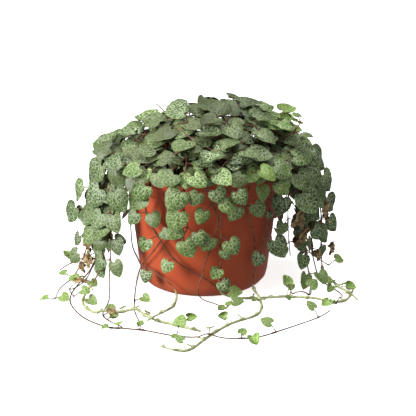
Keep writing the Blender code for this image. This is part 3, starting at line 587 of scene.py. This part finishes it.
# %% [markdown]
# ## The marbled leaf finish
#
# Seen close, the dark green of a leaf is broken into small islands by a silver-green net, with a few stronger
# veins that fan out from the notch and bend to the tip. Young leaves are yellow-green with hardly a pattern, old
# ones go grey-olive, withered ones tan. The undersides are pale, with a blush of pink. Islands of such a net are
# cells, so a Voronoi pattern draws them, and the fan is worked out from the angle and distance to the notch. The
# pattern follows attributes on the leaf, so that it turns and bends with it, at its real size in millimetres.

# %% The net of islands
tree, given, result = new_group(
    "silver_net", [("Place", "NodeSocketVector", None), ("Cells per mm", "NodeSocketFloat", 0.42)],
    [("Net", "NodeSocketFloat"), ("Island", "NodeSocketFloat")])
wobble = node(tree, "ShaderNodeTexNoise", None, {"Vector": given.outputs["Place"], "Scale": 0.55, "Detail": 2.0})
shifted = node(tree, "ShaderNodeVectorMath", {"operation": "MULTIPLY_ADD"},
               {0: wobble.outputs["Color"], 1: (2.4, 2.4, 0), 2: given.outputs["Place"]}).outputs[0]
cells = {"Vector": shifted, "Scale": given.outputs["Cells per mm"]}
edges = node(tree, "ShaderNodeTexVoronoi", {"feature": "DISTANCE_TO_EDGE", "voronoi_dimensions": "2D"}, cells)
islands = node(tree, "ShaderNodeTexVoronoi", {"feature": "F1", "voronoi_dimensions": "2D"}, cells)
thread = eased(tree, edges.outputs["Distance"], 0.02, 0.18, 1.0, 0.0)
broken = node(tree, "ShaderNodeTexNoise", None, {"Vector": given.outputs["Place"], "Scale": 0.32, "Detail": 1.0})
strength = eased(tree, broken.outputs[0], 0.36, 0.58, 0.4, 1.0)
tree.links.new(maths(tree, "MULTIPLY", thread, strength), result.inputs["Net"])
tree.links.new(node(tree, "ShaderNodeSeparateColor", None, {0: islands.outputs["Color"]}).outputs[0],
               result.inputs["Island"])
silver_net = tree

# %% The fan of veins
FAN_STEP = 0.8
tree, given, result = new_group(
    "vein_fan", [("Blade", "NodeSocketVector", None), ("Place", "NodeSocketVector", None)],
    [("Vein", "NodeSocketFloat")])
wobble = node(tree, "ShaderNodeTexNoise", None, {"Vector": given.outputs["Place"], "Scale": 0.5, "Detail": 2.0})
centred = node(tree, "ShaderNodeVectorMath", {"operation": "SUBTRACT"},
               {0: wobble.outputs["Color"], 1: (0.5, 0.5, 0.5)})
bent = node(tree, "ShaderNodeVectorMath", {"operation": "MULTIPLY_ADD"},
            {0: centred.outputs[0], 1: (0.16, 0.16, 0), 2: given.outputs["Blade"]}).outputs[0]
parts = node(tree, "ShaderNodeSeparateXYZ", None, {0: bent})
sideways = maths(tree, "ABSOLUTE", parts.outputs["X"])
down = maths(tree, "ADD", parts.outputs["Y"], 0.02)
turn = maths(tree, "ARCTAN2", sideways, down)
reach = maths(tree, "SQRT", maths(tree, "MULTIPLY_ADD", sideways, sideways, maths(tree, "MULTIPLY", down, down)))
bend = maths(tree, "MULTIPLY_ADD", reach, -0.5, 1.0)
spread = maths(tree, "DIVIDE", turn, bend)
off_vein = maths(tree, "MULTIPLY", maths(tree, "PINGPONG", spread, FAN_STEP / 2), reach)
thin = eased(tree, off_vein, 0.004, 0.026, 1.0, 0.0)
fading = eased(tree, reach, 0.2, 0.62, 1.0, 0.3)
tree.links.new(maths(tree, "MULTIPLY", thin, fading), result.inputs["Vein"])
vein_fan = tree


# %% The leaf's green
def attribute(tree, name):
    return node(tree, "ShaderNodeAttribute", {"attribute_name": name})


material, tree, shader = new_material("vine_green", Roughness=0.5, Specular_IOR_Level=0.35)
mood = attribute(tree, "mood")
shares = node(tree, "ShaderNodeSeparateColor", None, {0: mood.outputs["Color"]})
fresh, worn, dry = shares.outputs[0], shares.outputs[1], shares.outputs[2]
# The mood's fourth share is painted shade, which darkens a leaf's colour in the shaded spots.
painted_shade = mood.outputs["Alpha"]
on_blade = attribute(tree, "blade").outputs["Vector"]
net = grouped(tree, silver_net, Place=attribute(tree, "patch").outputs["Vector"])
veins = grouped(tree, vein_fan, Blade=on_blade, Place=attribute(tree, "patch").outputs["Vector"]).outputs["Vein"]
island = blended(tree, net.outputs["Island"], linear(42, 64, 28), linear(76, 100, 46))
island = blended(tree, fresh, island, linear(124, 160, 62))
silver = blended(tree, fresh, linear(202, 218, 176), linear(208, 226, 160))
inward = eased(tree, attribute(tree, "margin").outputs["Fac"], 0.3, 1.0, 1.0, 0.45)
lines = maths(tree, "MAXIMUM", maths(tree, "MULTIPLY", net.outputs["Net"], 0.85),
              maths(tree, "MULTIPLY", veins, 0.9))
lines = maths(tree, "MULTIPLY", lines, inward)
lines = maths(tree, "MULTIPLY", lines, maths(tree, "MULTIPLY_ADD", fresh, -0.3, 1.0))
lines = maths(tree, "MULTIPLY", lines, maths(tree, "MULTIPLY_ADD", worn, -0.5, 1.0))
green = blended(tree, lines, island, silver)
green = blended(tree, maths(tree, "MULTIPLY", worn, 0.7), green, linear(100, 104, 74))
# The edge is paler in itself, and is lightened further as a painted highlight where the thin rim would catch light.
pale_edge_and_highlight = eased(tree, attribute(tree, "margin").outputs["Fac"], 0.72, 1.0)
green = blended(tree, maths(tree, "MULTIPLY", pale_edge_and_highlight, 0.45), green, linear(152, 168, 116))
# Painted shade: the top of a leaf is darkened towards a deep green.
green = blended(tree, maths(tree, "MULTIPLY", painted_shade, 0.55), green, linear(28, 46, 20))
under = blended(tree, grouped(tree, mottle, Scale=60.0, Contrast=5.0).outputs["Mask"],
                linear(146, 160, 112), linear(158, 132, 108))
# Painted shade on the underside as well.
under = blended(tree, maths(tree, "MULTIPLY", painted_shade, 0.5), under, linear(60, 62, 40))
above = node(tree, "ShaderNodeSeparateXYZ", None, {0: on_blade}).outputs["Z"]
green = blended(tree, eased(tree, above, -0.012, -0.006), under, green)
withered = blended(tree, net.outputs["Island"], linear(112, 78, 48), linear(196, 168, 120))
green = blended(tree, dry, green, withered)
tree.links.new(green, shader.inputs["Base Color"])
tree.links.new(eased(tree, lines, 0.0, 1.0, 0.44, 0.58), shader.inputs["Roughness"])
sunk = maths(tree, "MULTIPLY", lines, -1.0)
relief = node(tree, "ShaderNodeBump", None, {"Strength": 0.35, "Distance": 0.25 * MM, "Height": sunk})
tree.links.new(relief.outputs[0], shader.inputs["Normal"])
leaf_green = material
for form in forms.values():
    form.materials.append(leaf_green)

# %% [markdown]
# ## Reading a vine off the plain model
#
# The plain model keeps each vine as one solid: a three-sided stem with simple hearts grown out of its sides. What
# a finer piece needs from it is the line of the stem and, for every leaf, its notch, its tip, the way that it
# faces and where its stalk leaves the stem. Typing hundreds of places would be hopeless, so they are found by
# shape: the top of a leaf is the only corner joined to eight others that lie in one plane, and the stem is what
# is left, walked ring by ring from the cut end in the soil.

# %% Finding the leaves
HEART_CORNERS = 8
LEAF_SHARE = 0.86
PLANE_SLACK = 0.03 * MM


def neighbours(corner):
    return {edge.other_vert(corner) for edge in corner.link_edges}


def leaf_on(apex):
    """The leaf that has its top at this corner, as a dictionary, or None."""
    edge = neighbours(apex)
    if len(edge) != HEART_CORNERS:
        return None
    notch = min(edge, key=lambda corner: (corner.co - apex.co).length)
    tip = max(edge, key=lambda corner: (corner.co - notch.co).length)
    along = (tip.co - notch.co).normalized()
    facing = apex.co - notch.co
    facing = (facing - along * facing.dot(along)).normalized()
    if max(abs((corner.co - notch.co).dot(facing)) for corner in edge) > PLANE_SLACK:
        return None
    under = set().union(*(neighbours(corner) for corner in edge)) - edge - {apex}
    root = set().union(*(neighbours(corner) for corner in under)) - edge - under - {apex}
    if not root:
        return None
    return {
        "notch": notch.co.copy(), "along": along, "facing": facing,
        "length": (tip.co - notch.co).length / LEAF_SHARE,
        "root": sum((corner.co for corner in root), Vector()) / len(root),
        "corners": edge | under | {apex},
    }


# %% Walking the stem
def even_sided(face):
    sides = [edge.calc_length() for edge in face.edges]
    return max(sides) < 1.02 * min(sides)


def stem_line(shape, used):
    """The middles of the stem's rings, from the soil to the free end."""
    ends = [face for face in shape.faces if not used & set(face.verts) and even_sided(face)]
    start = min(ends, key=lambda face: face.calc_center_median().xy.length)
    ring, seen, line = set(start.verts), set(), []
    while ring:
        seen |= ring
        line.append(sum((corner.co for corner in ring), Vector()) / len(ring))
        ring = set().union(*(neighbours(corner) for corner in ring)) - seen - used
    return line


def read_vine(name):
    """A vine's stem line and its leaves."""
    shape = bmesh.new()
    shape.from_mesh(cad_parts[name].data)
    bmesh.ops.remove_doubles(shape, verts=shape.verts, dist=0.005 * MM)
    leaves = [found for found in map(leaf_on, shape.verts) if found]
    used = set().union(*(found.pop("corners") for found in leaves)) if leaves else set()
    line = stem_line(shape, used)
    shape.free()
    return line, leaves


vines = {name: read_vine(name) for name in vine_nodes}
total = sum(len(leaves) for _, leaves in vines.values())
print(total, "leaves;", round(sum(len(line) for line, _ in vines.values()) / len(vines)), "rings to a stem")

# %% [markdown]
# ## What each leaf looks like
#
# Age decides a leaf's colour, and shade is painted into it. The newest growth, at the ends of the vines and in a
# few spots on the mound, is yellow-green. The old leaves in the middle of the mound have gone grey. The curtains
# at the sides are darkened low down with painted shade, and a few leaves there are dead. These spots are listed,
# each a place, how far it reaches and how strong it is, and a leaf blends those that it is near.

# %% Spots of young, old, shaded and dead growth
LYING_LEVEL = 12 * MM
MOUND_LEVEL = POT_TOP + 6 * MM
YOUNG_SPOTS = (((37, -62, 88), 13, 1.0), ((52, -54, 92), 9, 0.8), ((64, 5, 122), 20, 0.9), ((-90, -30, 40), 22, 0.7),
               ((42, -66, 60), 8, 0.6), ((0, -65, 30), 10, 0.15))
GREY_SPOTS = (((-25, -30, 112), 30, 0.75), ((8, -20, 120), 26, 0.6), ((-70, -20, 95), 18, 0.5),
              ((-50, -45, 100), 14, 0.5))
SHADED_SPOTS = (((-78, -15, 62), 44, 0.45), ((80, -5, 70), 34, 0.65), ((95, -5, 40), 30, 0.7),
                ((20, 0, 136), 24, 0.6), ((-70, -10, 30), 22, 0.4), ((70, -10, 25), 30, 0.6), ((0, 70, 60), 60, 0.3))
DEAD_SPOTS = (((76, -15, 40), 26, 0.8), ((-80, -25, 14), 26, 0.6), ((-60, -75, 3), 34, 0.6),
              ((-18, -66, 4), 10, 0.9))
BROAD_SPOTS = (((74, -20, 66), 12, 1.0), ((94, -5, 34), 14, 0.7))


def nearness(place, spots):
    """How strongly a place lies in a set of spots, from 0 to 1."""
    strength = 0
    for middle, reach, most in spots:
        away = (place - Vector(middle) * MM).length / (reach * MM)
        strength = max(strength, most * max(0, 1 - away * away * 0.6))
    return strength


def mood_of(place, rng):
    """A leaf's fresh, worn, dry and painted-shade shares. Those that hang in front, or lie on the surface, are young.
    """
    hanging = 0.22 if place.y < -45 * MM and place.z < POT_TOP + 10 * MM else 0
    fresh = max(nearness(place, YOUNG_SPOTS), 0.6 + 0.4 * rng.random() if place.z < LYING_LEVEL else hanging)
    fresh = min(max(fresh + rng.gauss(0.08, 0.1), 0), 1)
    worn = min(max(nearness(place, GREY_SPOTS) * (1 - fresh) + rng.gauss(0.12, 0.2), 0), 1)
    dry = 0.9 if rng.random() < nearness(place, DEAD_SPOTS) * 0.6 else 0
    # Painted shade: how far a leaf's colour is darkened, most in the shaded spots.
    painted_shade = min(max(nearness(place, SHADED_SPOTS) * (1 - fresh) + rng.gauss(0.15, 0.17), 0), 1)
    return fresh, worn, dry, painted_shade


def form_of(mood, rng):
    """Which form a leaf takes: young ones cupped, dead ones shrivelled, the rest mostly flat or domed."""
    fresh, _, dry, _ = mood
    if dry:
        return "shrivelled"
    if fresh > 0.6:
        return rng.choice(("cupped", "folded", "spoon", "flat"))
    return rng.choice(("flat", "domed", "domed", "flat", "drooping", "wavy", "folded", "cupped"))


# %% Placing a leaf
CROWN_GROWTH = 1.04
CURTAIN_GROWTH = 1.02
FRONT_GROWTH = 0.88
BROAD_GROWTH = 0.4
MOUND_LEAN = 0.75
LEAN_SPAN = 45 * MM
LEAN_MIDDLE = 0.45


def grown(place):
    """A leaf's size beside its plain solid's: larger in the mound and curtains, smaller on the pot's front."""
    broad = 1 + BROAD_GROWTH * nearness(place, BROAD_SPOTS)
    if place.z > MOUND_LEVEL:
        over_front = place.y < -50 * MM and abs(place.x) < RIM
        return CROWN_GROWTH * broad * (FRONT_GROWTH if over_front else 1)
    if abs(place.x) > RIM:
        return CURTAIN_GROWTH * broad
    return FRONT_GROWTH if place.z > LYING_LEVEL else 1


def leaf_piece(found, form, mood, rng):
    """A copy of a form at a leaf's place, with its own marbling and mood."""
    along, length = found["along"], found["length"] * grown(found["notch"])
    level = (found["notch"].z - POT_TOP) / LEAN_SPAN
    lean = MOUND_LEAN * max(0, 1 - abs(level - LEAN_MIDDLE) * 2)
    facing = (found["facing"] + UP * lean).normalized()
    along = (along - facing * along.dot(facing)).normalized()
    across = along.cross(facing)
    wide = rng.uniform(0.92, 1.08) * (0.88 if mood[0] > 0.7 else 1)
    mesh = forms[form].copy()
    flat = [blade.vector.copy() for blade in mesh.attributes["blade"].data]
    turned = Matrix((across * wide * length, along * length, facing * length)).transposed().to_4x4()
    mesh.transform(Matrix.Translation(found["notch"]) @ turned)
    offset = Vector((rng.uniform(0, 500), rng.uniform(0, 500), 0))
    mesh.attributes.new("patch", "FLOAT_VECTOR", "POINT")
    mesh.attributes.new("mood", "FLOAT_COLOR", "POINT")
    for number, place in enumerate(flat):
        mesh.attributes["patch"].data[number].vector = place * (length / MM) + offset
        mesh.attributes["mood"].data[number].color = mood
    piece = bpy.data.objects.new("leaf", mesh)
    bpy.context.collection.objects.link(piece)
    return piece


def joined(pieces, name):
    """Several pieces joined into one with a name."""
    only(pieces[0])
    for piece in pieces[1:]:
        piece.select_set(True)
    bpy.ops.object.join()
    whole = bpy.context.object
    whole.name = name
    whole.data.name = name
    return whole


# %% [markdown]
# ## Leaves tucked under leaves
#
# A mound of hearts is several leaves deep. The plain model has only as many leaves as it has room for between
# solids that may not touch, so each leaf of the mound gets two more tucked beneath it and each leaf of the curtains
# and the back gets one, turned aside and a little smaller. Small leaves are strewn along the stems that lie on the
# surface. Both fill the gaps the way the real plant does.


# %% Tucking
TUCKED_FROM = 26 * MM
COLLAR_ROOM = 11 * MM
WALL_ROOM = 2 * MM
STREWN_SHARE = 0.22
STREWN_BELOW = 5 * MM


def tucked(found, rng):
    """A smaller leaf under a leaf, turned aside about the way that it faces."""
    turn = math.radians(rng.choice((-1, 1)) * rng.uniform(35, 130))
    facing = (found["facing"] + Vector([rng.uniform(-0.25, 0.25) for _ in range(3)])).normalized()
    along = Matrix.Rotation(turn, 3, found["facing"]) @ found["along"]
    along = (along - facing * along.dot(facing)).normalized()
    length = found["length"] * rng.uniform(0.65, 0.95)
    notch = found["notch"].lerp(found["root"], rng.uniform(0.2, 0.7)) - found["facing"] * (rng.uniform(1.6, 3.2) * MM)
    return {"notch": notch, "along": along, "facing": facing, "length": length, "root": found["root"]}


def in_bounds(found):
    """Whether a leaf stays inside the plant's own box and off the pot and the floor."""
    tip = found["notch"] + found["along"] * found["length"]
    side = found["along"].cross(found["facing"]) * (0.5 * found["length"])
    for place in (tip, found["notch"] + side, found["notch"] - side):
        if not all(low < value < high for low, value, high in zip(cad_low, place, cad_high)):
            return False
        reach = place.xy.length
        wall = wall_at(min(max(place.z, MM), POT_TOP - MM))
        if place.z < POT_TOP + WALL_ROOM and wall - COLLAR_ROOM < reach < wall + WALL_ROOM:
            return False
        if place.z < POT_TOP + 1 * MM and reach < RIM:
            return False
    return True


def strewn(place, along, rng):
    """A small leaf beside a stem that lies on the surface, nearly level."""
    side = along.cross(UP).normalized() * rng.choice((-1, 1))
    facing = (UP * 1.6 + Vector([rng.uniform(-0.6, 0.6) for _ in range(3)])).normalized()
    way = side + along * rng.uniform(-0.6, 0.6) + UP * 0.15
    way = (way - facing * way.dot(facing)).normalized()
    return {"notch": place + side * (2.2 * MM) + UP * (1.6 * MM), "along": way, "facing": facing,
            "length": rng.uniform(5.5, 8.5) * MM, "root": place}


rng = random.Random(33)
for line, leaves in vines.values():
    for before, place in zip(line, line[1:]):
        if place.z < STREWN_BELOW and place.xy.length > RIM and rng.random() < STREWN_SHARE:
            small = strewn(place, (place - before).normalized(), rng)
            tip = small["notch"] + small["along"] * small["length"]
            if tip.z > 0.6 * MM and all(low < value < high for low, value, high in zip(cad_low, tip, cad_high)):
                leaves.append(small)
print(sum(found["notch"].z < 8 * MM for _, leaves in vines.values() for found in leaves), "leaves on the surface")

rng = random.Random(21)
extra = 0
for _, leaves in vines.values():
    for found in list(leaves):
        place = found["notch"]
        on_front = place.z < MOUND_LEVEL and abs(place.x) < RIM and place.y < 0
        if place.z < TUCKED_FROM or on_front:
            continue
        for _ in range(2 if place.z > POT_TOP else 1):
            second = tucked(found, rng)
            if in_bounds(second):
                leaves.append(second)
                extra += 1
print(extra, "leaves tucked in")

# %% All the leaves
rng = random.Random(7)
for name, (_, leaves) in vines.items():
    pieces = []
    for found in leaves:
        mood = mood_of(found["notch"], rng)
        pieces.append(leaf_piece(found, form_of(mood, rng), mood, rng))
    if pieces:
        whole = joined(pieces, f"{name}_leaves")
        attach(whole, "root")
        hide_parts(name)
print(sum(len(leaves) for _, leaves in vines.values()), "leaves placed")

# %% [markdown]
# ## Stems and stalks
#
# The stems are threads about a millimetre thick, woody in the mound and pinkish brown where they hang, with a knot
# wherever leaves sit. A few runners on the surface are twice as thick, pale green and knobbly. A curve with a
# round bevel is the natural tool: the line read off the plain model is smoothed, each point gets its own radius,
# and the stalks are short curves from the knots to the notches. Turned into a mesh, each corner takes its age from
# the nearest point of the line.

# %% Smooth lines
STEM_RADIUS = 0.52 * MM
PLAIN_RADIUS = 0.9 * MM
STALK_RADIUS = 0.33 * MM
STEP = 2.6 * MM
KNOT_SPACING = 2.2 * MM
EASE_ROUNDS = 4


def settled(place):
    """A point of the plain stem let down onto the surface, because the finer stem is thinner, and off the pot."""
    sink = (PLAIN_RADIUS - STEM_RADIUS) * max(0, 1 - place.z / (4 * MM))
    height = max(place.z - sink, STEM_RADIUS)
    reach, share = place.xy.length, 1
    if height < POT_TOP + STEM_RADIUS:
        wall = wall_at(min(height, POT_TOP - 0.1 * MM)) + STEM_RADIUS
        if wall - 3 * MM < reach < wall:
            share = wall / reach
    return Vector((place.x * share, place.y * share, height))


def smooth_line(line):
    """A line of even steps through a stem's rings."""
    knots = [line[0]]
    for place in line[1:]:
        if (place - knots[-1]).length > KNOT_SPACING:
            knots.append(place)
    ends = [2 * knots[0] - knots[1], *knots, 2 * knots[-1] - knots[-2]]
    points = []
    for before, start, end, after in zip(ends, ends[1:], ends[2:], ends[3:]):
        steps = max(1, round((end - start).length / STEP))
        for step in range(steps):
            t = step / steps
            points.append(
                (2 * start + (end - before) * t + (2 * before - 5 * start + 4 * end - after) * t**2
                 + (3 * start - before - 3 * end + after) * t**3) / 2)
    points.append(knots[-1])
    for _ in range(EASE_ROUNDS):
        middles = [(before + after) / 2 for before, after in zip(points, points[2:])]
        points[1:-1] = [place.lerp(middle, 0.5) for place, middle in zip(points[1:-1], middles)]
    return [settled(place) for place in points]


def stalk_line(line, found):
    """A short bowed line from the stem to a leaf's notch."""
    start = min(line, key=lambda place: (place - found["root"]).length)
    end = found["notch"] + found["along"] * (0.06 * found["length"]) - found["facing"] * (0.2 * MM)
    bow = (start + end) / 2 + found["facing"] * 0.6 * MM - UP * 0.3 * MM
    return [start * (1 - t) ** 2 + bow * 2 * t * (1 - t) + end * t * t for t in (0, 0.25, 0.5, 0.75, 1)]


# %% Tubes from lines
def tubes(name, runs):
    """One mesh of round tubes, each run a list of (place, radius)."""
    curve = bpy.data.curves.new(name, "CURVE")
    curve.dimensions = "3D"
    curve.bevel_depth = 1
    curve.bevel_resolution = 1
    curve.use_fill_caps = True
    for run in runs:
        spline = curve.splines.new("POLY")
        spline.points.add(len(run) - 1)
        for point, (place, radius) in zip(spline.points, run):
            point.co = (*place, 1)
            point.radius = radius
    item = bpy.data.objects.new(name, curve)
    bpy.context.collection.objects.link(item)
    only(item)
    bpy.ops.object.convert(target="MESH")
    return cleaned(bpy.context.object, merge=0.001 * MM, smooth=60)


RUNNER_RADIUS = 0.95 * MM
RUNNER_BELOW = 7 * MM


def bud_run(place, along, rng):
    """A short side shoot with a swollen tip, on a runner that lies on the surface."""
    side = along.cross(UP).normalized() * rng.choice((-1, 1))
    way = (side + along * rng.uniform(-0.2, 0.9) + UP * rng.uniform(0.05, 0.5)).normalized()
    length = rng.uniform(2.5, 6.5) * MM
    sizes = ((0, 0.8), (0.4, 0.55), (0.75, 0.5), (0.9, 0.8), (1, 0.5))
    return [(place + way * (length * share), RUNNER_RADIUS * size) for share, size in sizes]


def stem_runs(line, leaves, runner, rng):
    """The stem with a knot at every leaf, thinner towards its end, its side shoots and the stalks."""
    knots = KDTree(max(len(leaves), 1))
    for number, found in enumerate(leaves):
        knots.insert(found["root"], number)
    knots.balance()
    run = []
    for number, place in enumerate(line):
        radius = STEM_RADIUS * (1.15 - 0.45 * number / len(line))
        lying = place.z < RUNNER_BELOW and number > 8
        if runner and lying:
            radius = RUNNER_RADIUS * rng.uniform(0.75, 1.1) * (1 if number < len(line) - 4 else 0.7)
            if number % 5 == 2:
                radius = RUNNER_RADIUS * 1.5
        elif leaves and knots.find(place)[2] < 2 * MM:
            radius *= 1.55
        run.append((Vector((place.x, place.y, max(place.z, radius))), radius))
    stalks = []
    for number in range(7, len(line) - 2, 5):
        if runner and line[number].z < RUNNER_BELOW and rng.random() < 0.75:
            stalks.append(bud_run(run[number][0], (line[number + 1] - line[number]).normalized(), rng))
    for found in leaves:
        places = stalk_line(line, found)
        stalks.append([(place, STALK_RADIUS * size) for place, size in zip(places, (1.3, 1, 0.9, 1, 1.2))])
    return [run, *stalks]


# %% The stems' finish
material, tree, shader = new_material("vine_stem", Roughness=0.6, Specular_IOR_Level=0.3)
age = attribute(tree, "age").outputs["Fac"]
skin = grouped(tree, mottle, Scale=300.0, Contrast=4.0)
young = blended(tree, skin.outputs["Mask"], linear(150, 160, 104), linear(196, 200, 158))
pinkish = blended(tree, skin.outputs["Mask"], linear(104, 68, 50), linear(150, 110, 84))
woody = blended(tree, skin.outputs["Mask"], linear(58, 38, 30), linear(104, 74, 54))
colour = blended(tree, eased(tree, age, 0.2, 0.55), young, pinkish)
colour = blended(tree, eased(tree, age, 0.6, 0.95), colour, woody)
tree.links.new(colour, shader.inputs["Base Color"])
bark = node(tree, "ShaderNodeBump", None, {"Strength": 0.4, "Distance": 0.2 * MM, "Height": skin.outputs["Fine"]})
tree.links.new(bark.outputs[0], shader.inputs["Normal"])
stem_skin = material

# %% All the stems
RUNNERS = ("vine_front_1", "vine_front_4", "vine_front_8", "vine_left_2", "vine_right_4")
rng = random.Random(15)
for name, (rings, leaves) in vines.items():
    line = smooth_line(rings)
    item = tubes(f"{name}_stem", stem_runs(line, leaves, name in RUNNERS, rng))
    nearest = KDTree(len(line))
    for number, place in enumerate(line):
        nearest.insert(place, number)
    nearest.balance()
    age = item.data.attributes.new("age", "FLOAT", "POINT")
    for corner in item.data.vertices:
        place, number, _ = nearest.find(corner.co)
        share = number / len(line)
        if place.z < 8 * MM:
            old = 0.1 if name in RUNNERS else 0.9
        else:
            old = 0.88 - 0.3 * share if place.z < POT_TOP else 0.8
        age.data[corner.index].value = old
    item.data.materials.append(stem_skin)
    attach(item, "root")
    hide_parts(name)
print(len(vines), "stems")
